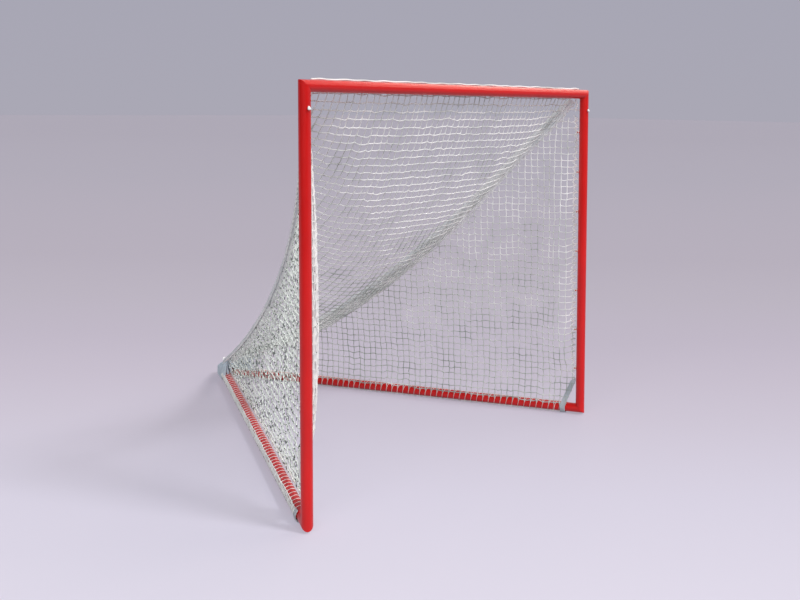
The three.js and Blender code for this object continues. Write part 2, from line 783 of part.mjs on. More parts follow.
// The lacing: one cord wound round the base pipe inside the hem, seen where it crosses the top.
function addBaseLacing() {
  for (const [side, name] of [[-1, "left_base_lacing"], [1, "right_base_lacing"]]) {
    const short = laceDiameter * 2;
    const run = baseLength - hemShort - hemStart - 2 * short;
    const count = laceTurns * laceStepsPerTurn;
    const at = (i) => {
      const a = Math.PI * 0.5 + (i / laceStepsPerTurn) * 2 * Math.PI;
      return foot(side)
        .addScaledVector(rearward(side), hemStart + short + (run * i) / count)
        .addScaledVector(inward(side), -laceVertexR * Math.cos(a))
        .addScaledVector(up, laceVertexR * Math.sin(a));
    };
    const points = [];
    for (let i = 0; i <= count; i++) points.push(at(i));
    const headOn = points[0].clone().sub(points[1]).setLength(laceDiameter);
    const tailOn = points[count].clone().sub(points[count - 1]).setLength(laceDiameter);
    headOn.z = 0;
    tailOn.z = 0;
    points.unshift(points[0].clone().add(headOn));
    points.push(points[points.length - 1].clone().add(tailOn));
    addPiece(name, solid(tube(points, laceRadius, 4)), laceCord);
    console.log(`${name}: least gap between turns ${(run / laceTurns - laceDiameter).toFixed(1)}`);
  }
}

// A stopper knot: a ball, flattened along its cord, which runs along Y.
function knot(center) {
  const ball = new THREE.SphereGeometry(knotDiameter / 2, 12, 8);
  ball.scale(1, knotFlatness, 1);
  ball.translate(center.x, center.y, center.z);
  return solid(ball);
}

// Each top corner of the net hangs on a cord that goes through the post to a knot in front.
function addCornerTies() {
  for (const [side, name] of [[-1, "left_corner_tie"], [1, "right_corner_tie"]]) {
    const x = side * postX;
    const front = new THREE.Vector3(x, knotDepth / 2 - knotFront, tieHeight);
    const seamStart = ridgePoint(side, ridgeBandStart);
    const seamAhead = ridgePoint(side, ridgeBandStart + 0.01).sub(seamStart).normalize();
    const meet = seamStart.clone().addScaledVector(seamAhead, -seat);
    const before = seamStart.clone().addScaledVector(seamAhead, -tieDiameter - seat);
    const leave = new THREE.Vector3(x, R + tieDiameter, tieHeight);
    const bow = new THREE.CatmullRomCurve3([
      leave,
      leave.clone().lerp(before, 0.5).add(new THREE.Vector3(...cornerTieBow)),
      before,
    ]);
    const points = [front, ...bow.getSpacedPoints(6), meet];
    const cord = solid(tube(points, tieDiameter / 2, 8));
    addPiece(name, cord.add(knot(front)), laceCord);
  }
}

// The cord that draws the bundle together, wound round its waist.
function addBundleTie() {
  const waist = baseZ + R + seat + bundleHeight * bundleWaist;
  const perTurn = bundleTieSteps;
  const clear = bundleRadius * bundleWaistSize + bundlePleatDepth + seat + bundleTieDiameter / 2;
  const radius = clear / Math.cos(Math.PI / perTurn);
  const rise = bundleTieDiameter + bundleTieSpace;
  const middleY = apexY - bundleSetback;
  const points = [];
  for (let i = 0; i <= bundleTieLoops * perTurn; i++) {
    const a = (i / perTurn) * 2 * Math.PI;
    const z = waist + rise * (i / perTurn - bundleTieLoops / 2);
    points.push(new THREE.Vector3(radius * Math.sin(a), middleY - radius * Math.cos(a), z));
  }
  addPiece("rear_bundle_tie", solid(tube(points, bundleTieDiameter / 2, 5)), laceCord);
  console.log(`rear_bundle_tie: least gap between turns ${(rise - bundleTieDiameter).toFixed(2)}`);
}

addPosts();
addCrossbar();
addBasePipes();
addRearCap();
addEyes();
addNets();
addHems();
addBaseLacing();
addCornerTies();
addBundleTie();

export default goal;
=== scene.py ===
# Looks of the lacrosse goal: painted pipes, knotted net, seams, lacing and ties.
# Metres, in the frame of the CAD model: +Z up, +Y from the mouth to the rear point.

import math

import bmesh
import bpy
import numpy as np
from mathutils import Matrix, Vector


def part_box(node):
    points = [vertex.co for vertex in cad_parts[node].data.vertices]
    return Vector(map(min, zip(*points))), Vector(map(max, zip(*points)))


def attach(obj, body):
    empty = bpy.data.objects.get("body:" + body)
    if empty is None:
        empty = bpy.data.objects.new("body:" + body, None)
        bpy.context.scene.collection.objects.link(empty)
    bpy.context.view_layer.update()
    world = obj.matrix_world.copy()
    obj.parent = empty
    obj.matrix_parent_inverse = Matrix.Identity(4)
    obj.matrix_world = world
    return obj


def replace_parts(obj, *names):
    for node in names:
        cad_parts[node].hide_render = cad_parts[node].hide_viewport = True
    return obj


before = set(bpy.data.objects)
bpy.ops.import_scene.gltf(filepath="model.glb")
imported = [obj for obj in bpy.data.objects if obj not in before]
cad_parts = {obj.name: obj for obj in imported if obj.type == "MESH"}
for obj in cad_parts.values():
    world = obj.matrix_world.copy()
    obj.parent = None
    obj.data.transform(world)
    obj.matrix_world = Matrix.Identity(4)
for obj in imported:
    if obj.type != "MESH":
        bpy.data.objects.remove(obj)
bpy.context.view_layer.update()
scene = bpy.context.scene

# Where the mouth's plane lies: shapes are written from it, as in the CAD source
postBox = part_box("left_post")
mouthY = (postBox[0].y + postBox[1].y) / 2


def place(points):
    # Goal frame to part frame: only Y is shifted
    moved = np.array(points, dtype=float)
    moved[..., 1] += mouthY
    return moved


def lengthsAlong(points):
    # How far along a line each point is
    return np.concatenate([[0], np.cumsum(np.linalg.norm(np.diff(points, axis=0), axis=1))])


def alongLine(points, lengths, at, axes=3):
    # Points of a line at given lengths
    return np.stack([np.interp(at, lengths, points[:, i]) for i in range(axes)], axis=-1)


def evenly(path, thick):
    # A strand of one thickness, as its path and its radius at each point
    return path, np.full(len(path), thick / 2)


def addObject(name, data):
    made = bpy.data.objects.new(name, data)
    scene.collection.objects.link(made)
    return made


# Camera, at the photograph's viewing angle

cameraSettings = {
    "at": (-3.0991, -3.0446, 1.7788),  # from the ground under the middle of the mouth
    "yaw": 51.262,  # degrees, to the right of straight ahead
    "pitch": -3.626,
    "roll": 0.68,
    "lens": 39.821,  # mm
    "sensor": 36,
    "shiftX": -0.1958,
    "shiftY": -0.1707,
}


def makeCamera(s):
    yaw, pitch, roll = (math.radians(s[k]) for k in ("yaw", "pitch", "roll"))
    ahead = Vector((math.sin(yaw) * math.cos(pitch), math.cos(yaw) * math.cos(pitch), math.sin(pitch)))
    level = Vector((math.cos(yaw), -math.sin(yaw), 0))
    lift = level.cross(ahead)
    right = math.cos(roll) * level + math.sin(roll) * lift
    top = -math.sin(roll) * level + math.cos(roll) * lift
    data = bpy.data.cameras.new("camera")
    data.sensor_width = s["sensor"]
    data.lens = s["lens"]
    data.shift_x = s["shiftX"]
    data.shift_y = s["shiftY"]
    camera = addObject("camera", data)
    turn = Matrix((right, top, -ahead)).transposed().to_4x4()
    camera.matrix_world = Matrix.Translation(place(s["at"]).tolist()) @ turn
    scene.camera = camera
    return ahead


cameraAhead = makeCamera(cameraSettings)
print("camera made")


# Sizes of the goal that several pieces share

goal = {
    "mouth": 1.8288,  # clear between the posts, and from the ground to the crossbar
    "pipe": 0.0254,  # outer radius of every tube
    "apexY": 2.2243,  # where the base pipes' axes meet, behind the posts
    "baseLength": 2.4146,  # along a base pipe's axis to that point
    "baseZ": 0.0328,  # height of the base pipes' axes
    "mesh": 0.0381,  # the net's mesh, knot to knot
    "tieHeight": 1.764,
    "cornerHeight": 0.19,  # the net starts this high at the post,
    "cornerStart": 0.026,  # slants down from this run along the pipe
    "cornerRun": 0.086,  # and is at the pipe from this one
    "wrapEnd": math.radians(4),  # where the back net leaves the crossbar
    "wrapR": 0.0288,
    "lacePitch": 0.0372,
    "laceMeets": 150,  # degrees round the pipe, where the lacing meets a column
    "floorGap": 0.0004,
}
goal["postX"] = goal["mouth"] / 2 + goal["pipe"]
goal["barZ"] = goal["mouth"] + goal["pipe"]
along = np.array([goal["postX"], goal["apexY"]]) / goal["baseLength"]

# The line where a side net meets the back net: it sags by drop and is drawn in by draw
ridge = {
    "startInset": 0.022,
    "endHeight": 0.088,
    "drop": 0.263,
    "dropSkew": 0.15,
    "draw": 0.084,
    "drawSkew": 1.1,
}
# The back net's belly under the ridges: a trough near the crossbar, a sharper V further back
belly = {
    "depth": 0.276,
    "start": 0.71,
    "tail": 2.0,
    "sharpness": 1.2,
    "troughed": 3.15,
    "sharpens": 3.2,
}
# The loose fold of a side net that hangs into the mouth behind its post
fold = {
    "depth": 0.07,
    "reach": 0.09,
    "top": 1.7488,
    "bottom": 0.285,
    "lean": 1.6,
    "fullness": 0.25,
    "clear": 0.0006,
}
# A side net comes down inside its base pipe and is tangent to it at the bottom
sideFoot = {"rise": 0.24, "inside": 0.0338, "blend": 0.2}


def ridgeAt(t):
    t = np.asarray(t, dtype=float)
    hump = 4 * t * (1 - t)
    startY = goal["wrapR"] * math.cos(goal["wrapEnd"])
    startZ = goal["barZ"] + goal["wrapR"] * math.sin(goal["wrapEnd"])
    drawn = ridge["draw"] * hump * (1 + ridge["drawSkew"] * (1 - 2 * t))
    dropped = ridge["drop"] * hump * (1 + ridge["dropSkew"] * (1 - 2 * t))
    x = (1 - t) * (goal["postX"] - ridge["startInset"]) - drawn
    y = startY + t * (goal["apexY"] - startY)
    z = startZ + t * (ridge["endHeight"] - startZ) - dropped
    return np.stack([x, y, z], axis=-1)


def ridgePoint(side, t):
    return ridgeAt(np.array([t]))[0] * [side, 1, 1]


def curtainAt(x, t):
    # The back net's surface at x and a share t of the way to the rear point
    deepest = belly["start"] / (belly["start"] + belly["tail"])
    fall = (t / deepest) ** belly["start"] * ((1 - t) / (1 - deepest)) ** belly["tail"]
    line = ridgeAt(t)
    share = np.minimum(abs(x) / np.maximum(line[..., 0], 0.001), 1)
    squareness = belly["sharpness"] + belly["troughed"] * (1 - t) ** belly["sharpens"]
    z = line[..., 2] - belly["depth"] * fall * (1 - share ** squareness)
    return np.stack([np.full_like(z, x), line[..., 1], z], axis=-1)


def footAt(side):
    return np.array([side * goal["postX"], 0, goal["baseZ"]])


def rearward(side):
    return np.array([-side * along[0], along[1], 0])


def inward(side):
    return np.array([-side * along[1], -along[0], 0])


ridgeTable = ridgeAt(np.linspace(0, 1, 600))


def ridgeOverRun(side, run):
    # The ridge's height and how far inside the pipe's plane it is, above a run along the pipe
    points = ridgeTable * [side, 1, 1] - footAt(side)
    runs = points @ rearward(side)
    height = np.interp(run, runs, ridgeTable[:, 2])
    inside = np.interp(run, runs, points @ inward(side))
    return height, inside


def sideAt(side, run, z):
    # The side net's surface at a run behind the post and a height
    run = np.asarray(run, dtype=float)
    z = np.asarray(z, dtype=float)
    height, inside = ridgeOverRun(side, run)
    low = goal["baseZ"]
    share = np.clip((z - low) / (height - low), 0, 1.05)
    rise = np.minimum(sideFoot["rise"], height - low)
    nearGround = np.maximum(1 - (z - low) / rise, 0) ** 2
    blend = np.clip((run - goal["pipe"]) / sideFoot["blend"], 0, 1)
    behind = np.maximum(run - goal["pipe"] - fold["clear"], 0) / fold["reach"]
    down = np.clip((fold["top"] - z) / (fold["top"] - fold["bottom"]), 0, 1)
    full = np.maximum(np.sin(np.pi * down ** fold["lean"]), 0) ** fold["fullness"]
    loose = fold["depth"] * (behind * np.exp(1 - behind)) ** 3 * full
    depth = inside * share * blend + sideFoot["inside"] * nearGround + loose
    point = footAt(side) + run[..., None] * rearward(side) + depth[..., None] * inward(side)
    point[..., 2] = z
    return point


# Materials


def linear(code):
    # sRGB hex to the linear colour that shaders take
    values = [int(code[i : i + 2], 16) / 255 for i in (0, 2, 4)]
    return (*[v / 12.92 if v <= 0.04045 else ((v + 0.055) / 1.055) ** 2.4 for v in values], 1)


def patternScale(millimetres):
    # A noise texture's scale for patches of this size
    return round(1000 / millimetres)


def node(tree, kind, stops=None, **values):
    # Adds a node: a value that names an input is set or linked, any other is a property.
    # in0, in1 and in2 are inputs by number, and stops are a ramp's places and hex colours
    made = tree.nodes.new("ShaderNode" + kind)
    for key, value in values.items():
        name = key.replace("_", " ") if key.replace("_", " ") in made.inputs else None
        if key.startswith("in") and key[2:].isdigit():
            name = int(key[2:])
        if name is None:
            setattr(made, key, value)
        elif isinstance(value, bpy.types.NodeSocket):
            tree.links.new(value, made.inputs[name])
        else:
            made.inputs[name].default_value = value
    if stops:
        ramp = made.color_ramp.elements
        ramp[0].position, ramp[0].color = stops[0][0], linear(stops[0][1])
        ramp[1].position, ramp[1].color = stops[-1][0], linear(stops[-1][1])
        for at, code in stops[1:-1]:
            ramp.new(at).color = linear(code)
    return made


def newMaterial(name):
    made = bpy.data.materials.new(name)
    made.use_nodes = True
    tree = made.node_tree
    tree.nodes.clear()
    out = tree.nodes.new("ShaderNodeOutputMaterial")
    return made, tree, out


# Gloss powder coat on steel tube: an even red with a soft highlight, and the faint waviness of
# orange peel in it
def makePowderCoat(s):
    made, tree, out = newMaterial("powderCoatRed")
    where = node(tree, "TexCoord").outputs["Object"]
    patch = node(tree, "TexNoise", Vector=where, Scale=patternScale(s["patch"]), Detail=3.0)
    stops = [(0.3, s["deep"]), (0.7, s["bright"])]
    colour = node(tree, "ValToRGB", Fac=patch.outputs["Fac"], stops=stops)
    peel = node(tree, "TexNoise", Vector=where, Scale=patternScale(s["peel"]), Detail=2.0)
    bump = node(tree, "Bump", Height=peel.outputs["Fac"], Strength=s["relief"], Distance=0.0004)
    wear = node(tree, "MapRange", Value=patch.outputs["Fac"], To_Min=s["roughLow"], To_Max=s["roughHigh"])
    shader = node(
        tree,
        "BsdfPrincipled",
        Base_Color=colour.outputs["Color"],
        Roughness=wear.outputs[0],
        Normal=bump.outputs[0],
        Specular_IOR_Level=s["specular"],
        Coat_Weight=s["coat"],
        Coat_Roughness=s["coatRough"],
    )
    tree.links.new(shader.outputs[0], out.inputs["Surface"])
    return made


# Braided polyester twine: matt, with diagonal ribs both ways that are felt more than seen, and
# darker grey in patches, with more of it towards the bottom
def makeTwine(name, s):
    made, tree, out = newMaterial(name)
    uv = node(tree, "UVMap", uv_map="lay").outputs["UV"]
    where = node(tree, "TexCoord").outputs["Object"]
    parts = node(tree, "SeparateXYZ", Vector=uv)
    tall = node(tree, "Math", operation="MULTIPLY", in0=parts.outputs["Y"], in1=1 / s["ribPitch"])
    ribs = []
    for way in (1, -1):
        across = node(tree, "Math", operation="MULTIPLY", in0=parts.outputs["X"], in1=way * s["strands"])
        turned = node(tree, "Math", operation="ADD", in0=across.outputs[0], in1=tall.outputs[0])
        angle = node(tree, "Math", operation="MULTIPLY", in0=turned.outputs[0], in1=2 * math.pi)
        ribs.append(node(tree, "Math", operation="SINE", in0=angle.outputs[0]).outputs[0])
    braid = node(tree, "Math", operation="MAXIMUM", in0=ribs[0], in1=ribs[1])
    greyPatches = node(tree, "TexNoise", Vector=where, Scale=patternScale(s["greyPatch"]), Detail=4.0)
    z = node(tree, "SeparateXYZ", Vector=where).outputs["Z"]
    lift = node(tree, "MapRange", Value=z, From_Max=s["greyTop"], To_Min=-s["greyLow"], To_Max=s["greyHigh"])
    greyness = node(tree, "Math", operation="ADD", in0=greyPatches.outputs["Fac"], in1=lift.outputs[0])
    stops = [(s["greyStarts"], s["darkTone"]), (s["greyEnds"], s["lightTone"])]
    colour = node(tree, "ValToRGB", Fac=greyness.outputs[0], stops=stops)
    bump = node(tree, "Bump", Height=braid.outputs[0], Strength=s["relief"], Distance=0.0003)
    shader = node(
        tree,
        "BsdfPrincipled",
        Base_Color=colour.outputs["Color"],
        Normal=bump.outputs[0],
        Roughness=0.82,
        Sheen_Weight=0.15,
        Specular_IOR_Level=0.3,
    )
    tree.links.new(shader.outputs[0], out.inputs["Surface"])
    return made


powderCoat = makePowderCoat(
    {
        "patch": 200,  # mm, slow drifts of colour and gloss
        "peel": 2.38,  # mm, one wave of orange peel: it breaks up the highlight
        "relief": 0.12,
        "deep": "CE0C0A",
        "bright": "D8100C",
        "roughLow": 0.3,
        "roughHigh": 0.4,
        "specular": 0.4,
        "coat": 0.25,
        "coatRough": 0.2,
    }
)
twineLook = {
    "strands": 4,  # ribs round the twine
    "ribPitch": 0.006,  # one turn of the braid
    "relief": 0.5,
    "greyPatch": 143,  # mm
    "greyStarts": 0.15,
    "greyEnds": 0.56,
    "greyTop": 1.2,  # height up to which the twine gets greyer towards the bottom
    "greyLow": 0.26,  # how much greyer it is at the ground
    "greyHigh": 0.02,
    "lightTone": "FBFBFC",
    "darkTone": "A2AAA6",
}
evenTwine = {**twineLook, "greyLow": 0}
netTwine = makeTwine("netTwineWhite", twineLook)
# The left net is seen from its side, layer on layer: its dark specks are painted shade, for its shaded gaps
leftTwine = makeTwine(
    "netTwineShadeSpecked",
    {
        **evenTwine,
        "greyPatch": 16.7,
        "greyStarts": 0.41,
        "greyEnds": 0.47,
        "lightTone": "F0F7F2",
        "darkTone": "525E57",
    },
)
# Gathered netting looks greyer than one string: the corner strips' darker grey and the rear bundle's bluer
# grey are painted shade
seamTwine = makeTwine("seamTwineGrey", {**evenTwine, "lightTone": "FAFCFF", "darkTone": "DFE7EC"})
stripTwinePaintedShade = makeTwine("bunchedTwinePaintedShade", {**evenTwine, "lightTone": "C2C9CF", "darkTone": "9CA4AB"})
bunchTwinePaintedShade = makeTwine("bunchedTwinePaintedBlueShade", {**evenTwine, "lightTone": "D2DEE9", "darkTone": "A9B8C8"})
# Thicker lacing cord, newer and whiter than the net
laceCord = makeTwine("lacingCordWhite", {**evenTwine, "lightTone": "FDFDFD", "darkTone": "E4E4E8", "strands": 6})
print("materials made")


# Strings: many round strands in one piece, each with its own path and thickness


def makeStrings(name, strands, roundness, material):
    # Each strand is a line of a bevelled curve, with the string's own radii
    curve = bpy.data.curves.new(name, "CURVE")
    curve.dimensions = "3D"
    curve.bevel_depth = 1.0
    curve.bevel_resolution = roundness
    curve.use_fill_caps = True
    for points, radii in strands:
        line = curve.splines.new("POLY")
        line.points.add(len(points) - 1)
        line.points.foreach_set("co", np.column_stack([place(points), np.ones(len(points))]).ravel())
        line.points.foreach_set("radius", np.asarray(radii, dtype=float))
    source = addObject(name + "Lines", curve)
    graph = bpy.context.evaluated_depsgraph_get()
    mesh = bpy.data.meshes.new_from_object(source.evaluated_get(graph), depsgraph=graph)
    bpy.data.objects.remove(source)
    layBraid(mesh, strands, 4 + 2 * roundness)
    mesh.polygons.foreach_set("use_smooth", np.ones(len(mesh.polygons), dtype=bool))
    mesh.materials.clear()
    mesh.materials.append(material)
    made = addObject(name, mesh)
    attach(made, "root")
    print(name, len(mesh.polygons), "faces")
    return made


def layBraid(mesh, strands, sides):
    # The braid's own map: once round a string across, and metres along it
    far = np.concatenate([lengthsAlong(points) for points, _ in strands])
    corner = np.empty(len(mesh.loops), dtype=int)
    mesh.loops.foreach_get("vertex_index", corner)
    corner = corner - 2 * len(strands) * sides  # the end caps' corners come first
    onRing = np.maximum(corner, 0)
    lay = np.stack([onRing % sides / sides, far[onRing // sides]], 1)
    quads = lay[(corner < 0).sum() :].reshape(-1, 4, 2)
    closing = np.ptp(quads[:, :, 0], axis=1) > 0.5
    quads[closing, :, 0] += quads[closing, :, 0] < 0.25
    layer = mesh.uv_layers[0]
    layer.name = "lay"
    layer.data.foreach_set("uv", lay.ravel())


def smoothed(rng, count, reach, size):
    # Random values along a line that change slowly, over about reach steps
    raw = rng.normal(size=count + 4 * reach)
    kernel = np.hanning(2 * reach + 3)[1:-1]
    kernel /= np.sqrt((kernel ** 2).sum())
    return size * np.convolve(raw, kernel, mode="same")[2 * reach : 2 * reach + count]


# Points of one string between two knots, and how far each is swollen by the knot before it
stringShares = np.array([0.0, 0.14, 0.5, 0.86])
stringSwell = np.array([1.0, 0.0, 0.0, 0.0])


def knotted(knots, rng, s, thick, sag, head=None, tail=None):
    # A string that bows between its knots, with plain lengths before and after
    parts, radii = [], []
    for a, b in zip(knots[:-1], knots[1:]):
        bow = 4 * stringShares * (1 - stringShares)
        droop = abs(rng.normal()) * sag
        stray = rng.normal(size=3) * s["stray"]
        piece = a + stringShares[:, None] * (b - a) + bow[:, None] * stray
        piece[:, 2] -= bow * droop
        parts.append(piece)
        radii.append(thick / 2 + stringSwell * (s["knot"] - thick) / 2)
    parts.append(knots[-1:])
    radii.append([s["knot"] / 2])
    if head is not None:
        parts.insert(0, head)
        radii.insert(0, np.full(len(head), thick / 2))
    if tail is not None:
        parts.append(tail)
        radii.append(np.full(len(tail), thick / 2))
    return np.concatenate(parts), np.concatenate(radii)


# Back net: columns fall from the crossbar like a curtain, then sweep to the rear point

backSettings = {
    "seed": 11,
    "pitch": 0.0354,
    "halfColumns": 26,
    "firstRow": 0.0312,
    "rowStep": 0.04,
    "rows": 66,
    "columnTwine": 0.0047,
    "rowTwine": 0.0058,
    "knot": 0.009,
    "stray": 0.0009,
    "rowSag": 0.0022,
    "columnShift": 0.0022,
    "columnDrift": 0.002,
    "rowDrift": 0.0025,
    "knotJitter": 0.001,
    "endGap": 0.012,  # left free above the ridge
    "edge": 0.01,  # from the last knot of a row to the ridge
    "overBar": (68, 52, 36, 20, 4),  # degrees round the crossbar that each column lies on
    "overLift": 0.0006,
}


def backColumn(x):
    # Points down one column, closer together near the crossbar, and their distances along it
    t = (np.arange(241) / 240) ** 4
    t = t[ridgeAt(t)[:, 0] >= abs(x)]
    t = np.append(t, ridgeEndFor(abs(x)))
    points = curtainAt(x, t)
    return points, lengthsAlong(points)


def ridgeEndFor(x):
    # The share of the way at which the ridge is x from the middle
    t = np.linspace(0, 1, 2001)
    return np.interp(-x, -ridgeAt(t)[:, 0], t)


def makeBackNet(s):
    rng = np.random.default_rng(s["seed"])
    count = 2 * s["halfColumns"]
    shift = rng.normal(size=count) * s["columnShift"]
    wide = smoothed(rng, s["rows"], 6, s["rowDrift"])
    knots = np.full((count, s["rows"], 3), np.nan)
    columns = []
    for k in range(count):
        x = (k - s["halfColumns"] + 0.5) * s["pitch"]
        points, lengths = backColumn(x)
        at = s["firstRow"] + s["rowStep"] * np.arange(s["rows"]) + shift[k]
        at = at + smoothed(rng, s["rows"], 3, s["columnDrift"])
        ok = at < lengths[-1] - s["endGap"]
        spot = alongLine(points, lengths, at[ok])
        spot[:, 0] += (smoothed(rng, s["rows"], 3, s["columnDrift"]) + wide)[ok]
        spot[:, 1:] += rng.normal(size=(ok.sum(), 2)) * s["knotJitter"]
        knots[k, ok] = spot
        columns.append((x, points[-1]))
    angles = np.radians(s["overBar"])
    r = goal["wrapR"] + s["overLift"]
    strands = []
    for k, (x, end) in enumerate(columns):
        line = knots[k][~np.isnan(knots[k][:, 0])]
        if len(line) < 2:
            continue
        across = np.full(len(angles), x)
        over = np.stack([across, r * np.cos(angles), goal["barZ"] + r * np.sin(angles)], 1)
        strands.append(knotted(line, rng, s, s["columnTwine"], 0.0, head=over, tail=end[None]))
    columnPiece = makeStrings("netBackColumns", strands, 1, netTwine)
    strands = []
    for n in range(s["rows"]):
        used = np.where(~np.isnan(knots[:, n, 0]))[0]
        if len(used) < 2:
            continue
        line = knots[used, n]
        ends = []
        for edge, way in ((used[0], -1), (used[-1], 1)):
            t = ridgeEndFor(min(abs(knots[edge, n, 0]) + s["edge"], 0.9))
            ends.append(ridgePoint(way, t)[None])
        strands.append(knotted(line, rng, s, s["rowTwine"], s["rowSag"], head=ends[0], tail=ends[1]))
    rowPiece = makeStrings("netBackRows", strands, 1, netTwine)
    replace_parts(columnPiece, "net_back_panel")
    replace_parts(rowPiece, "net_back_panel")


makeBackNet(backSettings)


# Side nets: columns hang from the ridge, pass inside the base pipe and fold up round it

sideSettings = {
    "seed": 5,
    "firstColumn": 0.05,
    "pitch": 0.0372,
    "lastRun": 2.29,
    "foldPitch": {-1: 0.006, 1: 0.033},  # the left net lies in folds behind its post
    "foldEnd": 0.17,
    "firstRow": 0.062,
    "rowStep": 0.0372,
    "rows": 48,
    "columnTwine": {-1: 0.0034, 1: 0.0047},
    "foldTwine": 0.0062,
    "rowTwine": 0.0047,
    "knot": 0.0086,
    "stray": 0.0017,
    "rowSag": 0.0022,
    "columnShift": 0.002,
    "columnDrift": 0.002,
    "knotJitter": 0.0008,
    "topGap": 0.012,  # left free below the ridge
    "lowGap": 0.014,
    "postTop": 1.72,  # columns near the post end here, as the ridge starts behind it
    "postRun": 0.1,
    "lowest": 0.045,
    "wrapR": 0.0306,
    "wrapTurns": (372, 350, 328, 299, 270, 240, 210, 182),  # degrees, as in pipeRing
    "wrapRows": (236, 256, 276),
    "wrapTwine": 0.0016,
    "wrapKnot": 0.0062,
    "selvageRun": 0.031,
    "rowPast": 0.02,
}


def sideRuns(side, s):
    runs, at = [], s["firstColumn"]
    while at < s["lastRun"]:
        runs.append(at)
        at += s["foldPitch"][side] if at < s["foldEnd"] else s["pitch"]
    return np.array(runs)


def lowEdge(run):
    # The net's raised corner at the foot of the post
    share = np.clip((run - goal["cornerStart"]) / (goal["cornerRun"] - goal["cornerStart"]), 0, 1)
    return goal["cornerHeight"] + share * (goal["baseZ"] - goal["cornerHeight"])


def pipeRing(side, run, angle, radius, thick=0.0056):
    # A point round the base pipe: angle 0 is outside, 90 on top, 180 inside
    flat = footAt(side) + run * rearward(side) - inward(side) * radius * math.cos(angle)
    flat[2] = max(flat[2] + radius * math.sin(angle), thick / 2 + goal["floorGap"])
    return flat


def columnFoot(side, run, s):
    # A column passes inside the base pipe and, behind the raised corner, folds up round it
    foot = sideAt(side, np.array([run]), np.array([max(lowEdge(run), s["lowest"])]))
    if run <= goal["cornerRun"]:
        return foot
    turns = np.radians(s["wrapTurns"])
    slant = (turns - math.radians(goal["laceMeets"])) / (2 * np.pi) * goal["lacePitch"]
    ring = [pipeRing(side, run + d, a, s["wrapR"], s["wrapTwine"]) for a, d in zip(turns, slant)]
    return np.concatenate([ring, foot])


def rowEnds(side, line, s):
    # A row runs from the post's rope, or the slanting edge of the corner, to the ridge
    low, high = line[0, 2], line[-1, 2]
    start = s["selvageRun"]
    if low < goal["cornerHeight"]:
        corner = [goal["cornerStart"], goal["cornerRun"]]
        start = np.interp(-low, [-goal["cornerHeight"], -goal["baseZ"]], corner)
    points = ridgeTable * [side, 1, 1] - footAt(side)
    end = np.interp(-high, -ridgeTable[:, 2], points @ rearward(side))
    end = min(end, s["lastRun"] + s["rowPast"])
    return [sideAt(side, np.array([run]), np.array([z])) for run, z in ((start, low), (end, high))]


def beadedRows(rng, side, s):
    # Rows under the pipe, where each fourth point is a knot that shows as a bead
    strands = []
    line = np.linspace(goal["cornerRun"], s["lastRun"], 240)
    for angle in s["wrapRows"]:
        swing = np.radians(angle + smoothed(rng, len(line), 3, 2.5))
        path = np.array([pipeRing(side, r, a, s["wrapR"], s["wrapKnot"]) for r, a in zip(line, swing)])
        beads = np.where(np.arange(len(line)) % 4 == 0, s["wrapKnot"], s["wrapTwine"])
        strands.append((path, beads / 2))
    return strands


def makeSideNet(side, name, cadNode, twine, s):
    rng = np.random.default_rng(s["seed"] + side)
    runs = sideRuns(side, s)
    knots = np.full((len(runs), s["rows"], 3), np.nan)
    strands, folded = [], []
    for k, run in enumerate(runs):
        z = s["firstRow"] + s["rowStep"] * np.arange(s["rows"]) + rng.normal() * s["columnShift"]
        z = z + smoothed(rng, s["rows"], 3, s["columnDrift"])
        top = ridgeOverRun(side, run)[0] if run > s["postRun"] else s["postTop"]
        ok = (z < top - s["topGap"]) & (z > lowEdge(run) + s["lowGap"])
        sway = run + smoothed(rng, s["rows"], 3, s["columnDrift"])
        spot = sideAt(side, sway[ok], z[ok])
        spot += rng.normal(size=spot.shape) * s["knotJitter"]
        knots[k, ok] = spot
        if ok.sum() < 2:
            continue
        head = columnFoot(side, run, s)
        tail = sideAt(side, np.array([run]), np.array([top]))
        inFold = side < 0 and run < s["foldEnd"]
        thick = s["foldTwine"] if inFold else s["columnTwine"][side]
        path, radii = knotted(knots[k, ok], rng, s, thick, 0.0, head=head, tail=tail)
        radii[: len(head)] = s["wrapTwine"] / 2
        (folded if inFold else strands).append((path, radii))
    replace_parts(makeStrings(name + "Columns", strands, 1, twine), cadNode)
    strands = []
    for n in range(s["rows"]):
        used = np.where(~np.isnan(knots[:, n, 0]))[0]
        if len(used) < 2:
            continue
        line = knots[used, n]
        head, tail = rowEnds(side, line, s)
        strands.append(knotted(line, rng, s, s["rowTwine"], s["rowSag"], head=head, tail=tail))
    folded += beadedRows(rng, side, s)
    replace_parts(makeStrings(name + "Rows", strands, 1, twine), cadNode)
    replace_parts(makeStrings(name + "Fold", folded, 1, laceCord), cadNode)


# The left net's twine carries dark specks of painted shade
makeSideNet(-1, "netLeft", "net_left_panel", leftTwine, sideSettings)
makeSideNet(1, "netRight", "net_right_panel", netTwine, sideSettings)
print("nets made")


# Ridge seams: a smooth band of gathered netting, with a scalloped stitch along the side net

seamSettings = {
    "seed": 21,
    "from": 0.012,  # shares of the ridge
    "to": 0.985,
    "steps": 420,
    "widths": [(0.0, 0.03), (0.05, 0.056), (0.14, 0.05), (0.3, 0.03), (0.6, 0.024), (1.0, 0.02)],
    "deep": 0.02,
    "strands": 14,
    "strandShare": 0.56,  # of the girth that falls to a strand
    "swell": 0.04,
    "stitch": 0.0056,
    "stitchBow": 0.013,
    "stitchInset": 0.001,
    "loose": [0.006, 0.013, 0.021, 0.029, 0.037, 0.045],  # below the band's edge
    "looseOpens": [(0.1, 0.2), (0.26, 1), (0.8, 1), (0.97, 0.25)],  # how far they spread
    "looseSlope": 1.3,
    "looseTwine": 0.0046,
    "looseWave": 0.0026,
    "looseLow": 0.07,
}


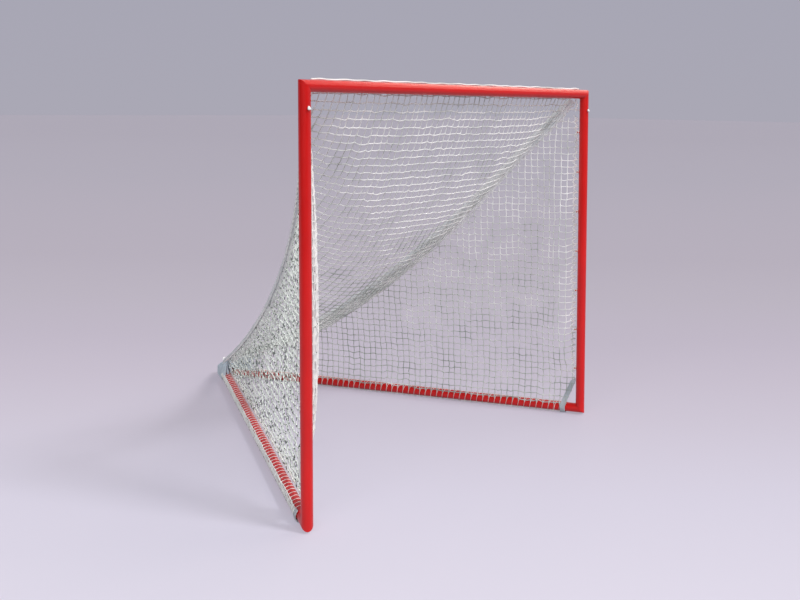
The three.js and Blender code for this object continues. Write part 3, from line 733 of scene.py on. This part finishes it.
def seamFrame(side, t):
    # The ridge's points, with the directions across the seam and out of it
    here = ridgeAt(t) * [side, 1, 1]
    ahead = np.gradient(here, axis=0)
    ahead /= np.linalg.norm(ahead, axis=1, keepdims=True)
    back = np.array([0, goal["barZ"], goal["apexY"]])
    out = -inward(side) + back / np.linalg.norm(back)
    out = out / np.linalg.norm(out)
    wide = np.cross(ahead, out) * side  # towards the side net
    wide /= np.linalg.norm(wide, axis=1, keepdims=True)
    deep = np.cross(wide, ahead) * side
    return here, wide, deep


def looseStrings(rng, side, here, width, t, s):
    # Strings that run along the seam in the side net, loosely gathered
    runs = (here - footAt(side)) @ rearward(side)
    part = t > s["looseOpens"][0][0]
    opened = np.interp(t, *zip(*s["looseOpens"]))
    strands = []
    for offset in s["loose"]:
        wave = smoothed(rng, len(t), 4, s["looseWave"])
        down = (width / 2 + offset + wave) * opened * s["looseSlope"]
        line = sideAt(side, runs, np.maximum(here[:, 2] - down, s["looseLow"]))[part]
        strands.append((line, s["looseTwine"] / 2 * (1 + smoothed(rng, len(line), 3, 0.12))))
    return strands


def seamStitch(here, wide, deep, width, s):
    # A cord that bows out beside the seam between the knots of the side net
    far = lengthsAlong(here)
    fine = np.linspace(0, far[-1], int(far[-1] / goal["mesh"] * 8))
    middle, out, above = (alongLine(rows, far, fine) for rows in (here, wide, deep))
    bow = np.abs(np.sin(np.pi * fine / goal["mesh"])) * s["stitchBow"]
    edge = np.interp(fine, far, width) / 2 - s["stitchInset"]
    path = middle + out * (edge + bow)[:, None] - above * s["stitchInset"]
    swell = np.where(bow < 0.2 * s["stitchBow"], 1.5, 1.0)
    return [(path, s["stitch"] / 2 * swell)]


def makeSeam(side, name, cadNode, s):
    rng = np.random.default_rng(s["seed"] + side)
    t = np.linspace(s["from"], s["to"], s["steps"])
    here, wide, deep = seamFrame(side, t)
    full = np.minimum(1, 0.5 + 8 * np.minimum(t, 1 - t))
    width = np.interp(t, *zip(*s["widths"]))
    thick = s["deep"] * full
    girth = np.pi * (width + thick) / 2
    strands = []
    for i in range(s["strands"]):
        a = 2 * np.pi * i / s["strands"]
        swell = 1 + smoothed(rng, len(t), 9, s["swell"])
        across = math.cos(a) * width / 2 * swell
        outwards = math.sin(a) * thick / 2 * swell
        path = here + wide * across[:, None] + deep * outwards[:, None]
        strands.append((path, girth / s["strands"] * s["strandShare"]))
    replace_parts(makeStrings(name, strands, 2, seamTwine), cadNode)
    loose = looseStrings(rng, side, here, width, t, s)
    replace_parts(makeStrings(name + "Loose", loose, 1, laceCord), cadNode)
    stitch = seamStitch(here, wide, deep, width, s)
    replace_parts(makeStrings(name + "Stitch", stitch, 1, laceCord), cadNode)


makeSeam(-1, "seamLeft", "left_ridge_seam", seamSettings)
makeSeam(1, "seamRight", "right_ridge_seam", seamSettings)
print("seams made")


# Selvage ropes: over the crossbar through its eyes, and down each post through its eyes

selvageSettings = {
    "seed": 31,
    "barRope": 0.0084,
    "barReach": 0.9,
    "barHump": 0.1143,  # the rope rises between the crossbar's eyes
    "barAngle": 68,  # degrees round the crossbar
    "barSwing": 9,
    "barGap": 0.0006,
    "barRise": 0.0012,
    "lowRope": 0.0046,  # a second rope along the crossbar, behind its eyes
    "lowAngle": 38,
    "lowGap": 0.003,
    "postTop": 1.735,
    "postRun": 0.036,
    "postRope": 0.005,
    "postBow": 0.022,
    "stripTop": 0.205,
    "stripRun": 0.03,
    "stripLow": 0.05,
    "stripStrands": 8,
    "stripStrand": 0.0054,
    "stripWidth": 0.026,
    "stripR": 0.0314,
    "stripTurns": (182, 208, 234, 260, 286, 312, 338, 364, 390, 410),
    "lashing": 0.0036,
    "lashingLoops": 6,
    "lashingR": 0.0068,
    "lashingRun": 0.0345,  # the rear bars of the eyes
    "lashingReach": 0.0105,
    "lashingSteps": 81,
    "steps": 420,
}


def makeBarSelvage(s):
    rng = np.random.default_rng(s["seed"])
    x = np.linspace(-s["barReach"], s["barReach"], s["steps"])
    humps = 0.5 - 0.5 * np.cos(x / s["barHump"] * 2 * np.pi) + smoothed(rng, len(x), 12, 0.3)
    humps = np.clip(humps, 0, 1.3)
    radius = goal["pipe"] + s["barGap"] + s["barRope"] / 2 + s["barRise"] * humps
    angle = np.radians(s["barAngle"] + s["barSwing"] * humps)
    path = np.stack([x, radius * np.cos(angle), goal["barZ"] + radius * np.sin(angle)], 1)
    strands = [evenly(path, s["barRope"])]
    lower = path.copy()
    lowAngle = math.radians(s["lowAngle"])
    lowRadius = goal["pipe"] + s["lowGap"]
    lower[:, 1] = lowRadius * math.cos(lowAngle)
    lower[:, 2] = goal["barZ"] + lowRadius * math.sin(lowAngle)
    strands.append(evenly(lower, s["lowRope"]))
    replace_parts(makeStrings("selvageBar", strands, 2, netTwine), "net_back_panel")


def makePostSelvage(side, name, cadNode, s):
    rng = np.random.default_rng(s["seed"] + 2 + side)
    corner = goal["cornerHeight"]
    z = np.linspace(corner, s["postTop"], s["steps"])
    scallop = np.abs(np.sin(np.pi * z / goal["mesh"])) * np.clip((z - corner) / 0.05, 0, 1)
    run = s["postRun"] + s["postBow"] * scallop * (0.9 + smoothed(rng, len(z), 20, 0.12))
    strands = [evenly(sideAt(side, run, z), s["postRope"])]
    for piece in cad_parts:
        if piece.startswith("left_post_eye" if side < 0 else "right_post_eye"):
            low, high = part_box(piece)
            strands.append(evenly(lashing(side, (low.z + high.z) / 2, s), s["lashing"]))
    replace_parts(makeStrings(name, strands, 2, laceCord), cadNode)
    makeCornerStrip(side, name + "Strip", cadNode, rng, s)


def makeCornerStrip(side, name, cadNode, rng, s):
    # Netting gathered beside the post, then slanting to the base pipe and round it
    strands = []
    down = np.linspace(s["stripTop"], goal["cornerHeight"], 60)
    slantRun = np.linspace(s["stripRun"], goal["cornerRun"], 14)[1:]
    corners = [s["stripRun"], goal["cornerRun"]], [goal["cornerHeight"], s["stripLow"]]
    slantZ = np.interp(slantRun, *corners)
    for i in range(s["stripStrands"]):
        offset = s["stripWidth"] * i / (s["stripStrands"] - 1)
        opening = np.clip((s["stripTop"] - down) / 0.015, 0.3, 1)
        run = s["stripRun"] + offset * opening + smoothed(rng, len(down), 8, 0.0006)
        upper = sideAt(side, run, down)
        lower = sideAt(side, slantRun + offset, slantZ)
        last = slantRun[-1] + offset
        turns = np.radians(s["stripTurns"])
        ring = [pipeRing(side, last, a, s["stripR"], s["stripStrand"]) for a in turns]
        strands.append(evenly(np.concatenate([upper, lower, ring]), s["stripStrand"]))
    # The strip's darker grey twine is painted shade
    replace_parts(makeStrings(name, strands, 1, stripTwinePaintedShade), cadNode)


def lashing(side, z, s):
    # A cord wound round an eye's rear bar and the rope that runs in it
    share = np.linspace(-1, 1, s["lashingSteps"])[:, None]
    a = share * s["lashingLoops"] * np.pi
    run = s["lashingRun"] + s["lashingR"] * np.cos(a)
    path = footAt(side) + run * rearward(side) + share * s["lashingReach"] * inward(side)
    path[:, 2] = z + s["lashingR"] * np.sin(a[:, 0])
    return path


makeBarSelvage(selvageSettings)
makePostSelvage(-1, "selvageLeftPost", "net_left_panel", selvageSettings)
makePostSelvage(1, "selvageRightPost", "net_right_panel", selvageSettings)
print("selvage made")


# Base: the net's lower margin bunched along the outside of each base pipe, and its lacing

baseSettings = {
    "seed": 41,
    "from": 0.088,
    "to": 2.298,
    # degrees round the pipe, and radius there
    "strands": [(5, 0.0302), (14.5, 0.0308), (24, 0.0311), (33.5, 0.0308), (43, 0.0302)],
    "strand": 0.0052,
    "steps": 360,
    "lace": 0.0026,
    "laceGap": 0.0004,
    "laceOver": 0.0078,  # how far the lacing rises over the strands
    "overAngle": 24,  # where round the pipe it rises most
    "overSpread": 26,
    "stepsPerTurn": 16,
}


def makeBase(side, name, hemNode, laceNode, s):
    rng = np.random.default_rng(s["seed"] + side)
    runs = np.linspace(s["from"], s["to"], s["steps"])
    strands = []
    for angle, radius in s["strands"]:
        swing = angle + smoothed(rng, len(runs), 6, 1.4)
        lift = radius + smoothed(rng, len(runs), 4, 0.0004)
        path = np.array([pipeRing(side, r, math.radians(a), m) for r, a, m in zip(runs, swing, lift)])
        strands.append((path, s["strand"] / 2 * (1 + smoothed(rng, len(runs), 3, 0.05))))
    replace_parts(makeStrings(name + "Selvage", strands, 1, laceCord), hemNode)
    # One turn for each column of the side net, which it crosses inside the pipe
    columns = sideRuns(side, sideSettings)
    before = 2 + (goal["laceMeets"] - 90) / 360
    start = columns[columns >= sideSettings["foldEnd"]][0] - before * goal["lacePitch"]
    i = np.arange(int((s["to"] - 0.006 - start) / goal["lacePitch"] * s["stepsPerTurn"]) + 1)
    angle = np.pi / 2 + i / s["stepsPerTurn"] * 2 * np.pi
    run = start + i / s["stepsPerTurn"] * goal["lacePitch"]
    degrees = np.degrees(angle) % 360
    away = (degrees - s["overAngle"] + 180) % 360 - 180
    over = np.exp(-((away / s["overSpread"]) ** 2))
    radius = goal["pipe"] + s["laceGap"] + s["lace"] / 2 + s["laceOver"] * over
    path = np.array([pipeRing(side, r, a, m, s["lace"]) for r, a, m in zip(run, angle, radius)])
    lacing = makeStrings(name + "Lacing", [evenly(path, s["lace"])], 1, laceCord)
    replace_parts(lacing, laceNode)


makeBase(-1, "baseLeft", "left_base_hem", "left_base_lacing", baseSettings)
makeBase(1, "baseRight", "right_base_hem", "right_base_lacing", baseSettings)
print("base made")


# Corner ties: the cord through each post, its knot in front and its wraps behind

tieSettings = {
    "cord": 0.0052,
    "knot": 0.0172,
    "knotFront": 0.0003,
    "seamShare": 0.03,  # where on the ridge the cord is wound round the seam
    "wrapShare": 0.03,
    "wrapTurns": 6,
    "wrapR": 0.013,
    "hankIn": 0.0335,  # the loose end that hangs behind the post
    "hankBack": 0.03,
    "hankLong": 0.066,
    "hankPoints": 22,
}


def spline(points, count):
    # A smooth path through points, by Catmull-Rom pieces
    p = np.array(points, dtype=float)
    p = np.concatenate([[2 * p[0] - p[1]], p, [2 * p[-1] - p[-2]]])
    out = []
    for i in range(1, len(p) - 2):
        u = np.linspace(0, 1, count, endpoint=False)[:, None]
        a, b, c, d = p[i - 1], p[i], p[i + 1], p[i + 2]
        square = (2 * a - 5 * b + 4 * c - d) * u**2
        cube = (3 * b - a - 3 * c + d) * u**3
        out.append(0.5 * (2 * b + (c - a) * u + square + cube))
    out.append(p[-2:-1])
    return np.concatenate(out)


def knotLoops(center, size, cord):
    # A stopper knot: the cord wound twice round itself, seen as a lumpy ball
    u = np.linspace(0, 1, 60)
    a = u * 2 * np.pi
    r = size / 2 - cord / 2
    x = r * np.sin(2 * a) * 0.62 + r * 0.38 * np.sin(a)
    z = r * np.cos(3 * a + 0.4) * 0.9
    y = r * 0.45 * np.sin(3 * a + 1.2)
    return np.stack([center[0] + x, center[1] + y, center[2] + z], 1)


def makeCornerTie(side, name, cadNode, s):
    x = side * goal["postX"]
    z = goal["tieHeight"]
    pipe = goal["pipe"]
    front = -pipe - s["knotFront"] - s["knot"] * 0.36
    # Through the post, then to the seam
    places = [(x, front + 0.002, z), (x, -pipe, z), (x, pipe, z)]
    places += [(x - side * 0.004, pipe + 0.012, z + 0.001), (x - side * 0.03, 0.07, z + 0.004)]
    path = spline([*places, ridgePoint(side, s["seamShare"])], 8)
    ball = knotLoops((x, front, z), s["knot"], s["cord"])
    drop = np.linspace(0, 1, s["hankPoints"])
    inwards = s["hankIn"] + 0.002 * np.sin(9 * drop)
    backwards = s["hankBack"] + 0.004 * np.cos(7 * drop)
    hank = np.stack([x - side * inwards, backwards, z + s["hankLong"] * (1 - drop) - 0.006], 1)
    wraps = []
    for turn in np.linspace(0, 1, 84):
        a = turn * s["wrapTurns"] * 2 * np.pi
        ring = np.array([math.cos(a), math.sin(a), 0.3 * math.sin(a)]) * s["wrapR"]
        wraps.append(ridgePoint(side, s["seamShare"] + s["wrapShare"] * turn) + ring)
    strands = [
        evenly(path, s["cord"]),
        evenly(ball, s["cord"]),
        (hank, s["cord"] * (0.75 + 0.25 * np.sin(np.arange(len(hank)) * 1.6))),  # in lumps
        evenly(np.array(wraps), s["cord"] * 0.8),
    ]
    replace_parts(makeStrings(name, strands, 3, laceCord), cadNode)


makeCornerTie(-1, "cornerTieLeft", "left_corner_tie", tieSettings)
makeCornerTie(1, "cornerTieRight", "right_corner_tie", tieSettings)


# Rear point: the net gathered over the point of the V, and drawn in by its tie

bundleSettings = {
    "seed": 51,
    "neck": (0, -0.024, 0.098),  # from the point of the V on the ground
    "neckRadius": 0.012,
    "neckStrands": 12,
    "neckBelow": 0.03,
    "neckLong": 0.042,
    # the left half of its outline on the ground, from the front to the rear tip
    "outline": [(-0.08, -0.115), (-0.0525, -0.05), (-0.0225, 0.0352), (0, 0.037)],
    "strands": 96,
    "strand": 0.0044,
    "shoulder": 0.061,
    "foot": 0.007,
    "fromNeck": 0.35,  # the middle folds start at the neck, the others on the ridges
    "foldShare": 0.985,
    "foldSpread": 0.04,
    "gathered": 34,
    "gatheredFrom": (2.12, 2.2),
    "gatheredTo": 2.33,
    "fanned": 70,
    "fannedReach": 0.14,
    "veiled": 60,
    "veilShare": 0.972,
    "veilSpread": 0.05,
    "veilFrom": 0.06,
    "veilReach": 0.15,
    "pipeR": 0.0285,
    "tie": 0.0052,
    "tieLoops": 3,
    "tieGap": 0.003,
    "tieBelow": 0.014,
    "knot": 0.024,
    "knotAt": (-0.004, 0.012, 0.012),  # from the neck
}


def fallingFolds(rng, apex, neck, s):
    # Folds that fall over the point of the V and stand on its outline
    half = np.array(s["outline"])
    line = np.concatenate([half, half[-2::-1] * [-1, 1]])
    far = lengthsAlong(line)
    paths = []
    for q in np.linspace(-1, 1, s["strands"]):
        at = (q + 1) / 2 * far[-1] + rng.normal() * 0.001
        low = apex + [*alongLine(line, far, at, 2), s["foot"]]
        shoulder = low + [0, 0, s["shoulder"] - s["foot"]] + (neck - low) * [0.06, 0.06, 0]
        away = max(abs(q) - s["fromNeck"], 0) / (1 - s["fromNeck"])
        top = ridgePoint(np.sign(q), s["foldShare"] - s["foldSpread"] * away)
        start = neck * (1 - away) + top * away
        swing = rng.normal(size=3) * 0.0012
        middle = start * 0.45 + shoulder * 0.55 + [0, 0, 0.004] + swing
        paths.append(spline([start, middle, shoulder, (low + shoulder) / 2 + swing * 0.5, low], 5))
    return paths


def gatheredStrings(rng, side, neck, s):
    # Strings of the side net, drawn together into the neck
    paths = []
    for q in np.linspace(0, 1, s["gathered"]):
        run = rng.uniform(*s["gatheredFrom"])
        runs = np.array([run, run * 0.6 + 0.93, s["gatheredTo"]])
        heights = ridgeOverRun(side, runs)[0]
        spots = sideAt(side, runs, 0.06 + q * (heights - 0.062) + rng.normal(size=3) * 0.002)
        turn = (q - 0.5) * 1.5
        end = neck + s["neckRadius"] * np.array([side * math.cos(turn), 0, math.sin(turn)])
        paths.append(spline([*spots, end - [0, 0.004, 0]], 5))
    return paths


def fannedStrings(rng, side, neck, s):
    # Strings that fan out from the neck to the base pipe
    paths = []
    for u in np.linspace(0, 1, s["fanned"]):
        run = goal["baseLength"] + 0.006 - s["fannedReach"] * u**1.6
        low = pipeRing(side, run, math.radians(rng.uniform(35, 165)), s["pipeR"])
        start = neck + [side * 0.006 * rng.uniform(-1, 1), -0.004, rng.uniform(-0.012, 0.008)]
        middle = (start + low) / 2 + [0, 0, 0.008] + rng.normal(size=3) * 0.002
        paths.append(spline([start, middle, low], 6))
    return paths


def veilStrings(rng, side, s):
    # From the seam's end over the pipe, where the net passes from inside it to outside
    paths = []
    for u in np.linspace(0, 1, s["veiled"]):
        start = ridgePoint(side, s["veilShare"] - s["veilSpread"] * u) - [0, 0, 0.005]
        run = goal["baseLength"] - s["veilFrom"] - s["veilReach"] * u
        low = pipeRing(side, run, math.radians(rng.uniform(20, 120)), s["pipeR"])
        middle = (start + low) / 2 - inward(side) * 0.005 + rng.normal(size=3) * 0.0015
        paths.append(spline([start, middle, low], 6))
    return paths


def neckStrings(neck, s):
    # The neck itself, drawn in under the tie and open above it
    share = np.linspace(0, 1, 8)
    r = s["neckRadius"] * np.interp(share, [0, 0.4, 0.75, 1], [1.5, 0.75, 0.95, 0.5])
    z = neck[2] - s["neckBelow"] + share * s["neckLong"]
    paths = []
    for i in range(s["neckStrands"]):
        a = i / s["neckStrands"] * 2 * np.pi
        paths.append(np.stack([neck[0] + r * np.sin(a + share), neck[1] + r * np.cos(a + share), z], 1))
    return paths


def neckLoops(neck, s):
    # The tie, wound round the neck
    u = np.linspace(0, 1, s["tieLoops"] * 20)
    a = u * s["tieLoops"] * 2 * np.pi
    r = s["neckRadius"] + s["tieGap"]
    z = neck[2] - s["tieBelow"] + (u - 0.5) * s["tieLoops"] * s["tie"] * 1.05
    return np.stack([neck[0] + r * np.sin(a), neck[1] - r * np.cos(a), z], 1)


def makeBundle(s):
    rng = np.random.default_rng(s["seed"])
    apex = np.array([0, goal["apexY"], 0])
    neck = apex + s["neck"]
    paths = fallingFolds(rng, apex, neck, s)
    for side in (-1, 1):
        paths += gatheredStrings(rng, side, neck, s)
        paths += fannedStrings(rng, side, neck, s)
        paths += veilStrings(rng, side, s)
    strands = [evenly(path, s["strand"]) for path in paths]
    strands += [evenly(path, s["strand"] * 1.2) for path in neckStrings(neck, s)]
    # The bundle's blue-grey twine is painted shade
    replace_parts(makeStrings("rearBundle", strands, 1, bunchTwinePaintedShade), "rear_net_bundle")
    ball = knotLoops(neck + s["knotAt"], s["knot"], s["tie"])
    strands = [evenly(path, s["tie"]) for path in (neckLoops(neck, s), ball)]
    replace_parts(makeStrings("rearBundleTie", strands, 2, laceCord), "rear_bundle_tie")


makeBundle(bundleSettings)
print("ties and bundle made")


# Painted steel: the CAD's own pipes and eyes, in powder coat

for name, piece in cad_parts.items():
    if name.endswith(("_post", "crossbar", "_pipe", "_cap")) or "_eye_" in name:
        for slot in piece.material_slots:
            slot.material = powderCoat
        for polygon in piece.data.polygons:
            polygon.use_smooth = True
print("steel painted")


# Floor, sky and lamps

stageSettings = {
    "middle": (0, 1.11),
    "floorSize": 120,
    # metres past the middle of the goal, as the camera looks, and the colour seen there
    "floorStops": [
        (-7.5, "5A5860"),  # the room behind the camera is darker
        (-2.6, "DFDBEB"),
        (-1.95, "DFDBEB"),
        (-1.1, "D7D3E4"),
        (-0.1, "CDC7D7"),
        (0.65, "C7C0D0"),
        (1.65, "C0B9C9"),
        (3.1, "BBB5C3"),
        (5.2, "B6B0BE"),
        (16.8, "B0ACBA"),
        (44, "ADA9B7"),
    ],
    "stopRoom": 0.5,
    "stopPower": 0.4,
    "skyLow": "AAA8B5",
    "skyHigh": "A7A6B4",
    "skyBlend": 0.15,
    "roomDark": 0.22,
    "ambient": 0.2,
    "floorShade": 0.5,  # how much of the shadows the floor keeps
    "lamps": [
        # name, power, angle, where from, warmth, seen in reflections
        ("key", 1.75, 12, (0.32, -0.95, 1.04), "FFFFFF", True),
        ("fill", 1.9, 80, (-0.72, -0.62, 0.34), "FFFFFF", False),
        # a strip of lamps that shows along the top of the crossbar
        ("strip1", 0.29, 16, (0.722, -0.53, 0.445), "FFF0DE", True),
        ("strip2", 0.29, 16, (0.722, -0.24, 0.65), "FFF0DE", True),
        ("strip3", 0.29, 16, (0.722, 0.1, 0.685), "FFF0DE", True),
        ("strip4", 0.29, 16, (0.722, 0.42, 0.55), "FFF0DE", True),
    ],
}


def seenDirectly(tree):
    # 1 for what the camera sees, also in a reflection, and 0 for light on things
    path = node(tree, "LightPath").outputs
    seen = path["Is Camera Ray"]
    for ray in ("Is Glossy Ray", "Is Transmission Ray"):
        seen = node(tree, "Math", operation="MAXIMUM", in0=seen, in1=path[ray]).outputs[0]
    return seen


def makeFloor(s):
    shape = bmesh.new()
    bmesh.ops.create_grid(shape, x_segments=1, y_segments=1, size=s["floorSize"])
    mesh = bpy.data.meshes.new("floor")
    shape.to_mesh(mesh)
    shape.free()
    floor = addObject("floor", mesh)
    made, tree, out = newMaterial("floorPale")
    where = node(tree, "TexCoord").outputs["Object"]
    ahead = Vector((cameraAhead.x, cameraAhead.y, 0)).normalized()
    middle = Vector(place((*s["middle"], 0)).tolist())
    dot = node(tree, "VectorMath", operation="DOT_PRODUCT", in0=where, in1=ahead)
    far = node(tree, "Math", operation="SUBTRACT", in0=dot.outputs["Value"], in1=middle.dot(ahead))
    # Distances are crowded towards the near end, so that each stop has room on the ramp
    low, high = s["floorStops"][0][0] - s["stopRoom"], s["floorStops"][-1][0]
    power = s["stopPower"]
    most = (high - low) ** power
    share = far
    for step, value in (("SUBTRACT", low), ("MAXIMUM", 0.01), ("POWER", power), ("DIVIDE", most)):
        share = node(tree, "Math", operation=step, in0=share.outputs[0], in1=value)
    stops = [((at - low) ** power / most, code) for at, code in s["floorStops"]]
    colour = node(tree, "ValToRGB", Fac=share.outputs[0], stops=stops).outputs["Color"]
    shader = node(tree, "BsdfDiffuse", Color=colour)
    glow = node(tree, "Emission", Color=colour, Strength=seenDirectly(tree))
    mixed = node(tree, "MixShader", Fac=s["floorShade"], in1=glow.outputs[0], in2=shader.outputs[0])
    tree.links.new(mixed.outputs[0], out.inputs["Surface"])
    mesh.materials.append(made)


def makeSky(s):
    world = bpy.data.worlds.new("sky")
    scene.world = world
    world.use_nodes = True
    tree = world.node_tree
    tree.nodes.clear()
    out = tree.nodes.new("ShaderNodeOutputWorld")
    where = node(tree, "TexCoord").outputs["Generated"]
    up = node(tree, "SeparateXYZ", Vector=where).outputs["Z"]
    stops = [(0.0, s["skyLow"]), (s["skyBlend"], s["skyHigh"])]
    colour = node(tree, "ValToRGB", Fac=up, stops=stops).outputs["Color"]
    facing = node(tree, "VectorMath", operation="DOT_PRODUCT", in0=where, in1=cameraAhead).outputs["Value"]
    bright = node(tree, "MapRange", Value=facing, From_Min=-0.3, From_Max=0.2, To_Min=s["roomDark"])
    seen = node(tree, "Background", Color=colour, Strength=bright.outputs[0])
    light = node(tree, "Background", Color=(1.0, 1.0, 1.0, 1), Strength=s["ambient"])
    mix = node(tree, "MixShader", Fac=seenDirectly(tree), in1=light.outputs[0], in2=seen.outputs[0])
    tree.links.new(mix.outputs[0], out.inputs["Surface"])


def makeLamps(s):
    for name, power, angle, fromWhere, warmth, reflected in s["lamps"]:
        data = bpy.data.lights.new(name, "SUN")
        data.energy = power
        data.angle = math.radians(angle)
        data.color = linear(warmth)[:3]
        lamp = addObject(name, data)
        lamp.rotation_euler = Vector(fromWhere).to_track_quat("Z", "Y").to_euler()
        lamp.visible_glossy = reflected


makeFloor(stageSettings)
makeSky(stageSettings)
makeLamps(stageSettings)
scene.view_settings.view_transform = "Standard"
print("stage made")
